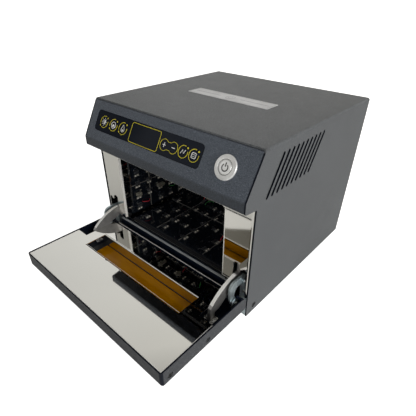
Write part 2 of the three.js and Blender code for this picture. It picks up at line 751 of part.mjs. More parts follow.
function hingePin(hand) {
  const head = HOOK.inner - GAP;
  const shank = alongX(circle(PIVOT.y, PIVOT.z, HOOK.pin, 20), hand * (head - 1), hand * (EAR.inner + EAR.sheet + 2));
  const button = alongX(circle(PIVOT.y, PIVOT.z, 3.8, 20), hand * (head - 1.4), hand * head);
  return join(shank, button);
}

// A countersunk screw that lies flush in a side wall, its axis along X.
function sideScrew(hand, face, y, z, head, shank, length) {
  const screw = turned([[0, -length], [shank, -length], [shank, -1.4], [head, -GAP], [0, -GAP]], 20);
  screw.rotateY((hand * Math.PI) / 2);
  return screw.translate(hand * face, y, z);
}

function handedPieces() {
  [['left', -1], ['right', 1]].forEach(([name, hand]) => {
    add(`door_arm_${name}`, doorArm(hand), MIRROR);
    const stop = [hand * STOP.inner, hand * STOP.outer, FRAME.sheet + GAP, STOP.back, STOP.low, STOP.high];
    add(`door_stop_${name}`, box(...stop), RUBBER);
    add(`hinge_bracket_${name}`, hingeBracket(hand), ZINC);
    add(`hinge_ear_${name}`, hingeEar(hand), ZINC);
    add(`hinge_pin_${name}`, hingePin(hand), STEEL);
    const { y, z, head, shank } = COVER_SCREW;
    add(`cover_screw_${name}`, sideScrew(hand, SIDE, y, z, head, shank, 7), STEEL);
    DOOR_SCREW.rows.forEach((row, i) => {
      const screw = sideScrew(hand, DOOR.half, row, DOOR_SCREW.z, DOOR_SCREW.head, 1.4, 6);
      add(`door_screw_${name}_${i + 1}`, screw, STEEL);
    });
    const x = [hand * MAGNET_BLOCK.inner, hand * MAGNET_BLOCK.outer];
    const z0 = PLATE.top - PLATE.sheet - GAP - MAGNET_BLOCK.depth;
    const y0 = MAGNET_BLOCK.front;
    const block = box(...x, y0, y0 + MAGNET_BLOCK.width, z0, z0 + MAGNET_BLOCK.depth);
    add(`door_magnet_${name}`, block, MAGNET);
  });
}

function doorSensor() {
  const low = ARM_SLOT.top + 10;
  add('door_sensor', box(98, 104, FRAME.sheet + GAP, 9, low, low + 20), BLACK_PLASTIC);
}

add('door_tray', doorTray(), CHARCOAL);
add('door_mirror_plate', mirrorPlate(), MIRROR);
doorWindow();
handedPieces();
doorSensor();

// The origin: the middle of the footprint with the door open, at the height of the feet's soles.
const rearTip = REAR_FACE + FITTING.reach;
oven.position.set(0, -(DOOR.front + rearTip) / 2, FOOT.height);

export default oven;
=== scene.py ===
"""A benchtop curing oven with its mirror door open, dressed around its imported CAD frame."""

import json
import math
import random

import bmesh
import bpy
from mathutils import Matrix, Vector


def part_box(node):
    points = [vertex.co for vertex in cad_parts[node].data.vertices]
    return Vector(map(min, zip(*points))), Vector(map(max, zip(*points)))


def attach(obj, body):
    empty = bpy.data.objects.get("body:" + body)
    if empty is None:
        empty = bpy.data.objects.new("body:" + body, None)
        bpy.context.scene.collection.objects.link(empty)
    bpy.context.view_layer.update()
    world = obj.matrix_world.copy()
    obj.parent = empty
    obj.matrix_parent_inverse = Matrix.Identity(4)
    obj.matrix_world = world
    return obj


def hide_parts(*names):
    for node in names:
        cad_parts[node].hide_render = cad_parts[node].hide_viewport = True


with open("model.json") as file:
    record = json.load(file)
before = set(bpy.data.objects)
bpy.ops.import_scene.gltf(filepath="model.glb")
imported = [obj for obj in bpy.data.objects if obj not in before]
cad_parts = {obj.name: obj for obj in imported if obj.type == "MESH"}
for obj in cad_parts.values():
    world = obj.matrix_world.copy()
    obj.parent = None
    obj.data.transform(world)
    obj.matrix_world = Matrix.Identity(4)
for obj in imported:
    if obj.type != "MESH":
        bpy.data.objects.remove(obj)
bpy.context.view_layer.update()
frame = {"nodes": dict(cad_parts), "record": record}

MM = 0.001

# Places read from the frame, in metres.
COVER_LOW, COVER_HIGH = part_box("outer_cover")
TRAY_LOW, TRAY_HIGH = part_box("door_tray")
FRONT_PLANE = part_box("front_frame")[0].y
BASE = COVER_LOW.z

# From here on a bare length is in millimetres.
SIDE = COVER_HIGH.x / MM                 # half the case's width
TOP = (COVER_HIGH.z - COVER_LOW.z) / MM  # the case's height

# The sloping fascia: its top edge, how far it runs back and rises, and the lip under its bend.
SLOPE_TOP_Y = 6.2
SLOPE_RUN = 25.4
SLOPE_RISE = 44.7
SLOPE_LENGTH = math.hypot(SLOPE_RUN, SLOPE_RISE)
LIP_FOOT = 150.6
# Heights over which the lip's painted shade lightens to the slope's full tone.
LIP_SHADE_Z = (161.5, 164.5)
OVERLAY_SUNK = 0.5
BUTTON_U, BUTTON_V = 96.0, 26.8
BUTTON_FLANGE_TOP = 2.1
BUTTON_CAP_TOP = 2.2


def spot(x, y, z):
    """A point given from the middle of the cover's lower front edge."""
    return Vector((x * MM, FRONT_PLANE + y * MM, BASE + z * MM))


def on_slope(u, v, height):
    """A point of the fascia: u along X, v down from the slope's top edge, height above its face."""
    down = Vector((0, -SLOPE_RUN, -SLOPE_RISE)) / SLOPE_LENGTH
    out = Vector((0, -SLOPE_RISE, SLOPE_RUN)) / SLOPE_LENGTH
    return spot(u, SLOPE_TOP_Y, TOP) + (v * down + height * out) * MM


def facing(origin, axis):
    """Places local (a, b, c) points with c along an axis from the origin."""
    out = Vector(axis).normalized()
    level = out.orthogonal() if abs(out.z) > 0.9 else Vector((0, 0, 1)).cross(out)
    across = level.normalized()
    upward = out.cross(across)

    def place(a, b, c):
        return origin + (a * across + b * upward + c * out) * MM

    return place


def mirrored(side, near, far):
    """A span of X on the left (-1) or the right (1), its lower end first."""
    return sorted((side * near, side * far))


# --- node helpers ---


class Tree:
    """Short calls for building one material's nodes."""

    def __init__(self, material):
        self.nodes = material.node_tree.nodes
        self.links = material.node_tree.links
        self.place = self.nodes.new("ShaderNodeTexCoord").outputs["Object"]

    def link(self, source, socket):
        self.links.new(source, socket)

    def noise(self, scale, detail=2.0, rough=0.5, stretch=None):
        node = self.nodes.new("ShaderNodeTexNoise")
        node.inputs["Scale"].default_value = scale
        node.inputs["Detail"].default_value = detail
        node.inputs["Roughness"].default_value = rough
        source = self.place
        if stretch is not None:
            mapping = self.nodes.new("ShaderNodeMapping")
            mapping.inputs["Scale"].default_value = stretch
            self.links.new(source, mapping.inputs["Vector"])
            source = mapping.outputs[0]
        self.links.new(source, node.inputs["Vector"])
        return node.outputs["Fac"]

    def ramp(self, fac, stops):
        node = self.nodes.new("ShaderNodeValToRGB")
        elements = node.color_ramp.elements
        while len(elements) < len(stops):
            elements.new(0.5)
        for element, (position, colour) in zip(elements, stops):
            element.position = position
            element.color = (*colour, 1.0)
        self.links.new(fac, node.inputs[0])
        return node.outputs[0]

    def span(self, fac, low, high):
        node = self.nodes.new("ShaderNodeMapRange")
        node.inputs["To Min"].default_value = low
        node.inputs["To Max"].default_value = high
        self.links.new(fac, node.inputs["Value"])
        return node.outputs[0]

    def maths(self, operation, a, b=None):
        node = self.nodes.new("ShaderNodeMath")
        node.operation = operation
        for socket, value in zip(node.inputs, (a, b)):
            if isinstance(value, (int, float)):
                socket.default_value = value
            elif value is not None:
                self.links.new(value, socket)
        return node.outputs[0]

    def axis(self, letter):
        node = self.nodes.new("ShaderNodeSeparateXYZ")
        self.links.new(self.place, node.inputs[0])
        return node.outputs[letter]

    def distance(self, point):
        node = self.nodes.new("ShaderNodeVectorMath")
        node.operation = "DISTANCE"
        self.links.new(self.place, node.inputs[0])
        node.inputs[1].default_value = point
        return node.outputs["Value"]

    def blend(self, fac, a, b, mode="MIX"):
        node = self.nodes.new("ShaderNodeMix")
        node.data_type = "RGBA"
        node.blend_type = mode
        if isinstance(fac, (int, float)):
            node.inputs[0].default_value = fac
        else:
            self.links.new(fac, node.inputs[0])
        self.links.new(a, node.inputs[6])
        self.links.new(b, node.inputs[7])
        return node.outputs[2]

    def bump(self, shader, height, strength, distance):
        node = self.nodes.new("ShaderNodeBump")
        node.inputs["Strength"].default_value = strength
        node.inputs["Distance"].default_value = distance
        self.links.new(height, node.inputs["Height"])
        self.links.new(node.outputs[0], shader.inputs["Normal"])

    def colour_range(self, shader, noise, dark, light, start=0.3, end=0.7):
        """The base colour runs from dark to light as the noise goes from start to end."""
        self.links.new(self.ramp(noise, [(start, dark), (end, light)]), shader.inputs["Base Color"])

    def gloss_range(self, shader, noise, low, high):
        """The roughness runs from low to high with the noise."""
        self.links.new(self.span(noise, low, high), shader.inputs["Roughness"])


def new_material(name):
    """A material with one surface shader, and its tree."""
    material = bpy.data.materials.new(name)
    material.use_nodes = True
    nodes = material.node_tree.nodes
    nodes.clear()
    output = nodes.new("ShaderNodeOutputMaterial")
    shader = nodes.new("ShaderNodeBsdfPrincipled")
    material.node_tree.links.new(shader.outputs[0], output.inputs[0])
    return material, shader, Tree(material)


def set_inputs(shader, **values):
    for name, value in values.items():
        shader.inputs[name.replace("_", " ")].default_value = value


def tinted(colour, factor):
    return tuple(min(factor * c, 1.0) for c in colour)


def grey(level):
    return (level,) * 3


# --- finishes ---

# The dark tone painted on inner and hidden faces as painted shade.
INNER_SHADE_TONE = (0.0024, 0.0045, 0.0115)
CHARCOAL = (0.092, 0.097, 0.104)
SKIN = 0.12 * MM     # how deep the powder coat reaches in from a sheet's outside, past which its faces carry painted shade, in metres
TOP_SKIN = 3.2 * MM  # the same under the cover's top, past its round bends


def paint_tone(tree, colour):
    """Cloudy large variation under a fine light and dark speckle."""
    clouds = tree.noise(scale=11.0, detail=3.0)
    tone = tree.ramp(clouds, [(0.3, tinted(colour, 0.94)), (0.7, tinted(colour, 1.06))])
    grains = tree.noise(scale=1300.0, detail=2.0, rough=0.7)
    speckle = tree.ramp(grains, [(0.34, grey(0.66)), (0.5, grey(1.0)), (0.68, grey(2.05))])
    return tree.blend(1.0, tone, speckle, "MULTIPLY")


def pebbled(tree, shader, rough, specular):
    """A powder coat's fine pebbles, slightly uneven in gloss."""
    tree.gloss_range(shader, tree.noise(scale=60.0), rough - 0.05, rough + 0.05)
    tree.bump(shader, tree.noise(scale=1500.0, detail=2.0, rough=0.6), strength=0.3, distance=0.12 * MM)
    set_inputs(shader, Specular_IOR_Level=specular)


def powder_coat(name, colour, rough, specular):
    """Powder-coated sheet in one colour."""
    material, shader, tree = new_material(name)
    tree.link(paint_tone(tree, colour), shader.inputs["Base Color"])
    pebbled(tree, shader, rough, specular)
    return material


def within(tree, **limits):
    """One inside a box given by (low, high) pairs for x, y and z in metres, and zero outside it."""
    inside = None
    for letter, (low, high) in limits.items():
        place = tree.axis(letter.upper())
        for test, limit in (("GREATER_THAN", low), ("LESS_THAN", high)):
            if limit is not None:
                part = tree.maths(test, place, limit)
                inside = part if inside is None else tree.maths("MULTIPLY", inside, part)
    return inside


def coat_with_inner_shade(name, colour, specular, **limits):
    """Powder coat outside a box, and painted shade in a dark tone on the faces inside it."""
    material, shader, tree = new_material(name)
    coat = tree.blend(within(tree, **limits), paint_tone(tree, colour), paint_tone(tree, INNER_SHADE_TONE))
    tree.link(coat, shader.inputs["Base Color"])
    pebbled(tree, shader, 0.47, specular)
    return material


def fascia_coat_and_shade(name, colour, specular):
    """The fascia's paint with painted shade: darker on the lip under the bend, and the dark inner shade
    below the lip's foot.
    """
    material = coat_with_inner_shade(name, colour, specular, z=(None, BASE + LIP_FOOT * MM))
    tree = Tree(material)
    shader = next(node for node in tree.nodes if node.type == "BSDF_PRINCIPLED")
    coat = shader.inputs["Base Color"].links[0].from_socket
    low, high = (BASE + z * MM for z in LIP_SHADE_Z)
    climb = tree.maths("DIVIDE", tree.maths("SUBTRACT", tree.axis("Z"), low), high - low)
    # Painted shade on the lip: 0.55 of the tone below the lower height, the full tone above the upper one.
    lip_painted_shade = tree.ramp(climb, [(0.0, grey(0.55)), (1.0, grey(1.0))])
    tree.link(tree.blend(1.0, coat, lip_painted_shade, "MULTIPLY"), shader.inputs["Base Color"])
    return material


def polished(name, colour, rough=0.03):
    """Mirror-polished sheet with faint wiping marks."""
    material, shader, tree = new_material(name)
    tree.colour_range(shader, tree.noise(scale=9.0), tinted(colour, 0.97), colour, start=0.35, end=0.65)
    marks = tree.noise(scale=30.0, detail=3.0, rough=0.6, stretch=(1.0, 6.0, 6.0))
    tree.gloss_range(shader, marks, 0.5 * rough, 1.8 * rough)
    tree.bump(shader, tree.noise(scale=7.0, detail=1.0), strength=0.04, distance=0.3 * MM)
    set_inputs(shader, Metallic=1.0)
    return material


def ring_turned(name, colour, centre, rough):
    """A lathe-turned face: fine rings about one centre."""
    material, shader, tree = new_material(name)
    radians_per_metre = 9000.0   # about 0.7 mm from ring to ring
    rings = tree.maths("SINE", tree.maths("MULTIPLY", tree.distance(centre), radians_per_metre))
    soft = tree.noise(scale=160.0, detail=3.0)
    tree.colour_range(shader, soft, tinted(colour, 0.95), tinted(colour, 1.03))
    tree.gloss_range(shader, soft, rough - 0.03, rough + 0.04)
    tree.bump(shader, rings, strength=0.12, distance=0.05 * MM)
    set_inputs(shader, Metallic=0.55)
    return material


def plated(name, colour, rough, metallic=1.0):
    """Zinc-plated or turned metal with a fine cloudy surface."""
    material, shader, tree = new_material(name)
    clouds = tree.noise(scale=140.0, detail=4.0, rough=0.65)
    tree.colour_range(shader, clouds, tinted(colour, 0.9), tinted(colour, 1.1))
    tree.gloss_range(shader, tree.noise(scale=260.0, detail=3.0), rough - 0.04, rough + 0.05)
    tree.bump(shader, tree.noise(scale=500.0), strength=0.02, distance=0.02 * MM)
    set_inputs(shader, Metallic=metallic)
    return material


def moulded(name, colour, rough):
    """Plastic, rubber or ink with a light grain."""
    material, shader, tree = new_material(name)
    clouds = tree.noise(scale=50.0, detail=3.0)
    tree.colour_range(shader, clouds, colour, tinted(colour, 1.3), start=0.35, end=0.75)
    tree.gloss_range(shader, tree.noise(scale=120.0), rough - 0.06, rough + 0.08)
    tree.bump(shader, tree.noise(scale=900.0), strength=0.2, distance=0.08 * MM)
    return material


def solder_mask(name, colour):
    """A black board: glossy mask over faint copper tracks."""
    material, shader, tree = new_material(name)
    tracks = tree.nodes.new("ShaderNodeTexBrick")
    tree.link(tree.place, tracks.inputs["Vector"])
    tracks.inputs["Scale"].default_value = 60.0
    tracks.inputs["Mortar Size"].default_value = 0.03
    for part, factor in (("Color1", 1.0), ("Color2", 1.4), ("Mortar", 3.0)):
        tracks.inputs[part].default_value = (*tinted(colour, factor), 1.0)
    tree.link(tracks.outputs["Color"], shader.inputs["Base Color"])
    tree.gloss_range(shader, tree.noise(scale=90.0), 0.03, 0.09)
    tree.bump(shader, tree.noise(scale=40.0), strength=0.03, distance=0.1 * MM)
    set_inputs(shader, Specular_IOR_Level=1.0)
    return material


def glossy_overlay(name, colour):
    """The smooth dark face of the touch panel and of the display."""
    material, shader, tree = new_material(name)
    tree.colour_range(shader, tree.noise(scale=12.0), colour, tinted(colour, 1.3))
    tree.gloss_range(shader, tree.noise(scale=45.0), 0.10, 0.16)
    tree.bump(shader, tree.noise(scale=20.0, detail=1.0), strength=0.03, distance=0.2 * MM)
    set_inputs(shader, Specular_IOR_Level=0.12)
    return material


def amber_sheet(name):
    """Clear amber acrylic with faint flow marks."""
    material, shader, tree = new_material(name)
    marks = tree.noise(scale=14.0, detail=3.0, stretch=(1.0, 3.0, 1.0))
    tree.colour_range(shader, marks, (0.36, 0.138, 0.0), (0.58, 0.250, 0.0))
    tree.gloss_range(shader, tree.noise(scale=90.0), 0.03, 0.08)
    tree.bump(shader, tree.noise(scale=30.0), strength=0.06, distance=0.3 * MM)
    set_inputs(shader, Transmission_Weight=0.2, IOR=1.49, Specular_IOR_Level=0.06)
    return material


# The cover's inner faces, the vent slits' walls among them, carry painted shade.
COVER_COAT_AND_SHADE = coat_with_inner_shade("cover_powder_coat_and_inner_shade", CHARCOAL, 0.2,
                        x=(COVER_LOW.x + SKIN, COVER_HIGH.x - SKIN), z=(None, COVER_HIGH.z - TOP_SKIN))
REAR_PAINT = powder_coat("rear_powder_coat", CHARCOAL, 0.5, specular=0.2)
FASCIA_COAT_AND_SHADE = fascia_coat_and_shade("fascia_powder_coat_and_shade", (0.086, 0.099, 0.122), 0.3)
# The tray's inside and its nose behind the plate carry painted shade.
TRAY_COAT_AND_SHADE = coat_with_inner_shade("tray_powder_coat_and_inner_shade", (0.058, 0.061, 0.068), 0.16,
                       x=(TRAY_LOW.x + SKIN, TRAY_HIGH.x - SKIN), y=(TRAY_LOW.y + SKIN, None),
                       z=(TRAY_LOW.z + SKIN, None))
RAIL = powder_coat("rail_paint", (0.0032, 0.0064, 0.0150), 0.36, specular=0.3)
MIRROR = polished("mirror_steel", (0.86, 0.85, 0.82))
ARM_STEEL = plated("arm_steel", (0.48, 0.47, 0.46), 0.30, 0.82)
ZINC = plated("zinc_plate", (0.66, 0.76, 0.80), 0.34, 0.85)
STEEL = plated("turned_steel", (0.66, 0.66, 0.65), 0.28)
DARK_STEEL = plated("blackened_steel", (0.06, 0.062, 0.066), 0.36)
# Dark tone of the engraved symbol, also used as painted shade in the button's grooves.
ENGRAVING_AND_GROOVE_SHADE = plated("engraved_mark_and_groove_shade", (0.11, 0.11, 0.11), 0.5)
BRASS = plated("turned_brass", (0.62, 0.45, 0.18), 0.28)
MAGNET = plated("magnet_plate", (0.35, 0.36, 0.38), 0.35)
BUTTON_CENTRE = on_slope(BUTTON_U, BUTTON_V, BUTTON_CAP_TOP)
BUTTON_STEEL = ring_turned("button_steel", (0.98, 0.98, 0.97), BUTTON_CENTRE, 0.3)
OVERLAY = glossy_overlay("overlay_gloss", (0.0036, 0.0062, 0.0125))
SCREEN = glossy_overlay("display_glass", (0.0030, 0.0046, 0.0062))
BOARD = solder_mask("board_mask", (0.0040, 0.0056, 0.0085))
AMBER = amber_sheet("amber_acrylic")
BLACK = moulded("black_plastic", (0.014, 0.015, 0.017), 0.45)
RUBBER = moulded("foot_rubber", (0.018, 0.018, 0.019), 0.75)
TRIM = moulded("trim_strip", (0.36, 0.38, 0.39), 0.4)
YELLOW_INK = moulded("yellow_ink", (0.66, 0.56, 0.02), 0.5)
WHITE_INK = moulded("white_ink", (0.85, 0.86, 0.85), 0.5)
PLAQUE = moulded("plaque_print", (0.52, 0.52, 0.53), 0.42)
PLAQUE_LINE = moulded("plaque_line", (0.30, 0.29, 0.32), 0.42)
CERAMIC = moulded("lamp_ceramic", (0.20, 0.19, 0.17), 0.4)
CHIP = moulded("chip_body", (0.030, 0.032, 0.036), 0.3)
LENS = moulded("lamp_lens", (0.80, 0.74, 0.66), 0.12)
CREAM = moulded("connector_plastic", (0.20, 0.19, 0.16), 0.45)
# Pale matte tone for the chamber's seam strips: a painted highlight.
SEAM_HIGHLIGHT = moulded("seam_strip", (0.14, 0.137, 0.126), 0.4)
RED = moulded("red_lead", (0.42, 0.016, 0.03), 0.4)
GREEN = moulded("green_lead", (0.03, 0.20, 0.04), 0.4)
LABEL = moulded("rating_label", (0.42, 0.43, 0.43), 0.5)
# Pale matte paint for bright lines of light on metal edges: a painted highlight.
PAINTED_HIGHLIGHT = moulded("edge_painted_highlight", (0.86, 0.84, 0.78), 0.3)

FINISH_OF_SLOT = {
    "cover_paint": COVER_COAT_AND_SHADE,
    "fascia_paint": FASCIA_COAT_AND_SHADE,
    "overlay_gloss": OVERLAY,
    "screen": SCREEN,
    "board_black": BOARD,
    "mirror_steel": MIRROR,
    "zinc_plate": ZINC,
    "steel": STEEL,
    "rail_navy": RAIL,
    "pale_trim": TRIM,
    "amber": AMBER,
    "rubber": RUBBER,
    "black_plastic": BLACK,
    "brass": BRASS,
    "magnet": MAGNET,
}
FINISH_OF_NODE = {
    "door_tray": TRAY_COAT_AND_SHADE,
    "rear_panel": REAR_PAINT,
    "front_cross_member": DARK_STEEL,
    "door_arm_left": ARM_STEEL,
    "door_arm_right": ARM_STEEL,
    "power_button_body": BUTTON_STEEL,
    "power_button_cap": BUTTON_STEEL,
}
EDGE_OF_NODE = {  # how far a node's edges are softened, in millimetres
    "outer_cover": 0.22,
    "front_fascia": 0.4,
    "front_frame": 0.4,
    "door_tray": 0.5,
    "door_arm_left": 0.6,
    "door_arm_right": 0.6,
    "hinge_bracket_left": 0.5,
    "hinge_bracket_right": 0.5,
    "door_mirror_plate": 0.3,
}
PLAIN_EDGE = 0.15


def dress_nodes():
    """Every CAD node gets its finish and softened edges."""
    for row in frame["record"]["subparts"]:
        name = row["node"]
        node = frame["nodes"][name]
        node.data.materials.clear()
        node.data.materials.append(FINISH_OF_NODE.get(name, FINISH_OF_SLOT[row["material_slot"]]))
        bevel = node.modifiers.new("soft_edges", "BEVEL")
        bevel.width = EDGE_OF_NODE.get(name, PLAIN_EDGE) * MM
        bevel.segments = 2
        bevel.limit_method = "ANGLE"
        bevel.angle_limit = math.radians(40)
        bevel.harden_normals = True


dress_nodes()

# --- shapes ---


def arc(a, b, radius, start, end, steps=16):
    """Points of an arc, its angles in degrees."""
    turns = [math.radians(start + (end - start) * i / steps) for i in range(steps + 1)]
    return [(a + radius * math.cos(t), b + radius * math.sin(t)) for t in turns]


def ring(a, b, radius, steps=32):
    return arc(a, b, radius, 0, 360, steps)[:-1]


def rounded_box(a0, a1, b0, b1, radius, steps=6):
    """A rectangle's outline with round corners."""
    corners = [(a1 - radius, b1 - radius, 0), (a0 + radius, b1 - radius, 90),
               (a0 + radius, b0 + radius, 180), (a1 - radius, b0 + radius, 270)]
    outline = []
    for a, b, start in corners:
        outline += arc(a, b, radius, start, start + 90, steps)
    return outline


def offset(path, distance, closed):
    """The path moved sideways by a distance, along its corners' mean normals."""
    moved = []
    last = len(path) - 1
    for i, (a, b) in enumerate(path):
        before = path[i - 1] if i > 0 or closed else path[i]
        after = path[(i + 1) % len(path)] if i < last or closed else path[i]
        along = Vector((after[0] - before[0], after[1] - before[1])).normalized()
        moved.append((a - along.y * distance, b + along.x * distance))
    return moved


def add_object(name, data):
    """Puts a mesh, light or camera into the scene."""
    made = bpy.data.objects.new(name, data)
    bpy.context.scene.collection.objects.link(made)
    return made


class Shape:
    """Gathers closed solids into one mesh; place(a, b, c) turns local millimetres into metres."""

    def __init__(self, place=None):
        self.place = place
        self.mesh = bmesh.new()

    def rows(self, loops):
        return [[self.mesh.verts.new(self.place(*point)) for point in loop] for loop in loops]

    def skin(self, low, high):
        count = len(low)
        for i in range(count):
            j = (i + 1) % count
            self.mesh.faces.new((low[i], low[j], high[j], high[i]))

    def loft(self, loops):
        """Joins equal loops of points, and closes both ends."""
        rows = self.rows(loops)
        for low, high in zip(rows, rows[1:]):
            self.skin(low, high)
        self.mesh.faces.new(rows[0])
        self.mesh.faces.new(rows[-1])

    def prism(self, outline, low, high):
        self.loft([[(a, b, c) for a, b in outline] for c in (low, high)])

    def box(self, a, b, c):
        self.prism([(a[0], b[0]), (a[1], b[0]), (a[1], b[1]), (a[0], b[1])], *c)

    def lathe(self, a, b, profile, sides=24):
        """Turns a (radius, height) profile about a local axis along c."""
        self.loft([[(p, q, height) for p, q in ring(a, b, radius, sides)] for radius, height in profile])

    def band(self, path, width, low, high):
        """A closed line of a given width, as a flat ring."""
        inner = offset(path, -width / 2, True)
        outer = offset(path, width / 2, True)
        sides = ((outer, low), (outer, high), (inner, high), (inner, low))
        rows = self.rows([[(a, b, c) for a, b in line] for line, c in sides])
        for near, far in zip(rows, rows[1:] + rows[:1]):
            self.skin(near, far)

    def stroke(self, path, width, low, high):
        """An open line of a given width, as a flat strip."""
        near = offset(path, -width / 2, False)
        far = offset(path, width / 2, False)
        self.prism(near + far[::-1], low, high)

    def rod(self, path, radius, sides=8):
        """A round rod along local (a, b, c) points."""
        points = [Vector(point) for point in path]
        loops = []
        for i, point in enumerate(points):
            along = (points[min(i + 1, len(points) - 1)] - points[max(i - 1, 0)]).normalized()
            across = along.orthogonal().normalized()
            other = along.cross(across)
            loops.append([tuple(point + radius * (math.cos(t) * across + math.sin(t) * other))
                          for t in (2 * math.pi * k / sides for k in range(sides))])
        self.loft(loops)

    def piece(self, name, material, body, slot, bevel=0.0):
        """Closes the mesh off as one named piece that rides on a body."""
        bmesh.ops.recalc_face_normals(self.mesh, faces=self.mesh.faces)
        mesh = bpy.data.meshes.new(name)
        self.mesh.to_mesh(mesh)
        self.mesh.free()
        mesh.materials.append(material)
        mesh.shade_smooth()
        mesh.set_sharp_from_angle(angle=math.radians(35))
        piece = add_object(name, mesh)
        if bevel > 0:
            soft = piece.modifiers.new("soft_edges", "BEVEL")
            soft.width = bevel * MM
            soft.segments = 2
            soft.limit_method = "ANGLE"
        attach(piece, body)
        return piece


SCREW_SIDES = 48


def cross_recess(radius):
    """The mouth of a screw head's recess: four slim arms round a small middle, as parts of the radius."""
    middle, arm, slimness = 0.17, 0.45, 5
    points = []
    for i in range(SCREW_SIDES):
        turn = 2 * math.pi * i / SCREW_SIDES
        reach = radius * (middle + arm * abs(math.cos(2 * turn)) ** slimness)
        points.append((reach * math.cos(turn), reach * math.sin(turn)))
    return points


def cross_screw(shape, head, profile, top, depth):
    """A screw with a cross recess: a profile of (radius, height) up to its flat top."""
    loops = [[(a, b, c) for a, b in ring(0, 0, radius, SCREW_SIDES)] for radius, c in profile]
    mouth = cross_recess(head)
    taper = 0.7
    loops.append([(a, b, top) for a, b in mouth])
    loops.append([(taper * a, taper * b, top - depth) for a, b in mouth])
    shape.loft(loops)


# --- the touch panel and the button ---

PRINT_LOW, PRINT_HIGH = -OVERLAY_SUNK - 0.1, -OVERLAY_SUNK + 0.12
INK_LINE = 0.6
KEYS = (-100.0, -81.0, -62.5)      # the three round keys' places along the slope
KEY_V = 26.3
KEY_RADIUS = 7.2
WINDOW = (-47.8, 1.3, 15.1, 37.7)  # the display's printed frame
ROCKER = (10.2, 24.2)              # the plus and minus keys
ROCKER_RADIUS = 6.3
SMALL_KEYS = (38.7, 53.8)
SMALL_RADIUS = 6.6
ROW_V = 27.0                       # the row of the rocker and the small keys


class Print(Shape):
    """Ink on the touch panel."""

    def __init__(self):
        super().__init__(on_slope)

    def line(self, path, width, lift=0.0):
        self.stroke(path, width, PRINT_LOW, PRINT_HIGH + lift)

    def loop(self, path, width):
        self.band(path, width, PRINT_LOW, PRINT_HIGH)

    def fill(self, outline):
        self.prism(outline, PRINT_LOW, PRINT_HIGH)


def key_dot(ink, u, v, radius):
    """The small round mark at a key's upper right."""
    reach = radius * math.sqrt(0.5)
    ink.fill(ring(u + reach, v - reach, 1.05, 14))


def key_outline(ink, u):
    """A round key: two arcs, with a short thick dash and a dot in the gaps between them."""
    outer = KEY_RADIUS + 0.5
    ink.line(arc(u, KEY_V, KEY_RADIUS, -12, 118, 20), INK_LINE)
    ink.line(arc(u, KEY_V, KEY_RADIUS, 160, 286, 20), INK_LINE)
    ink.line(arc(u, KEY_V, outer, 131, 147, 4), 1.2)
    key_dot(ink, u, KEY_V, outer)


def panel_outlines():
    """The yellow outlines of the keys, the display and the rocker."""
    ink = Print()
    for u in KEYS:
        key_outline(ink, u)
    ink.loop(rounded_box(*WINDOW, 2.6), INK_LINE)
    left, right = ROCKER
    lobes = arc(left, ROW_V, ROCKER_RADIUS, 42, 318, 20) + arc(right, ROW_V, ROCKER_RADIUS, 222, 498, 20)
    ink.loop(lobes, 0.8 * INK_LINE)
    for u in SMALL_KEYS:
        ink.line(arc(u, ROW_V, SMALL_RADIUS, -14, 288, 30), INK_LINE)
        key_dot(ink, u, ROW_V, SMALL_RADIUS + 0.7)
    ink.piece("panel_outlines", YELLOW_INK, "case", "overlay_gloss")


def lamp_symbol(ink, u):
    """A half-filled disc with eight rays."""
    ink.fill(arc(u, KEY_V, 2.5, -90, 90, 12))
    ink.loop(ring(u, KEY_V, 2.6, 24), 0.5)
    for turn in range(0, 360, 45):
        angle = math.radians(turn)
        ray = [(u + r * math.cos(angle), KEY_V + r * math.sin(angle)) for r in (3.6, 4.8)]
        ink.line(ray, 0.55)


def dome_symbol(ink, u):
    """A dome on a base line, in a ring."""
    ink.loop(ring(u, KEY_V, 3.9, 28), 0.7)
    ink.fill(arc(u, KEY_V + 1.2, 2.2, 180, 360, 12))
    ink.line([(u - 2.4, KEY_V + 2.0), (u + 2.4, KEY_V + 2.0)], 0.6)


def drop_symbol(ink, u):
    """A half-filled drop."""
    middle = KEY_V + 1.2
    ink.loop(arc(u, middle, 2.7, -20, 200, 16) + [(u, KEY_V - 4.6)], 0.7)
    ink.fill(arc(u, middle, 1.5, 0, 180, 10))


def rocker_symbols(ink):
    """Plus and minus."""
    left, right = ROCKER
    reach, width = 2.5, 0.8
    ink.line([(left - reach, ROW_V), (left + reach, ROW_V)], width)
    ink.line([(left, ROW_V - reach), (left, ROW_V + reach)], width, lift=0.02)
    ink.line([(right - reach, ROW_V), (right + reach, ROW_V)], width)


def curve_symbol(ink, u):
    """A zigzag."""
    ink.line([(u - 3, ROW_V + 2.4), (u - 1, ROW_V - 2), (u + 1, ROW_V + 1.6), (u + 3, ROW_V - 2.4)], 0.7)


def list_symbol(ink, u):
    """A round-cornered frame with two lines in it."""
    half = 2.8
    ink.loop(rounded_box(u - half, u + half, ROW_V - half, ROW_V + half, 1.0), 0.6)
    for step in (-0.95, 0.95):
        ink.line([(u - 2.6, ROW_V + step), (u + 2.6, ROW_V + step)], 0.4)


def panel_symbols():
    """The white symbols inside the outlines, all of them generic."""
    ink = Print()
    for symbol, u in zip((lamp_symbol, dome_symbol, drop_symbol), KEYS):
        symbol(ink, u)
    rocker_symbols(ink)
    for symbol, u in zip((curve_symbol, list_symbol), SMALL_KEYS):
        symbol(ink, u)
    ink.piece("panel_symbols", WHITE_INK, "case", "overlay_gloss")


def button_rings(name, material, rise, rings):
    """Thin rings let into the button's flange, as (radius, width) pairs, in a material that paints the
    grooves' shade or a highlight.
    """
    shape = Shape(on_slope)
    low, high = BUTTON_FLANGE_TOP - 0.1, BUTTON_FLANGE_TOP + rise
    for radius, width in rings:
        shape.band(ring(BUTTON_U, BUTTON_V, radius, 48), width, low, high)
    shape.piece(name, material, "case", "steel")


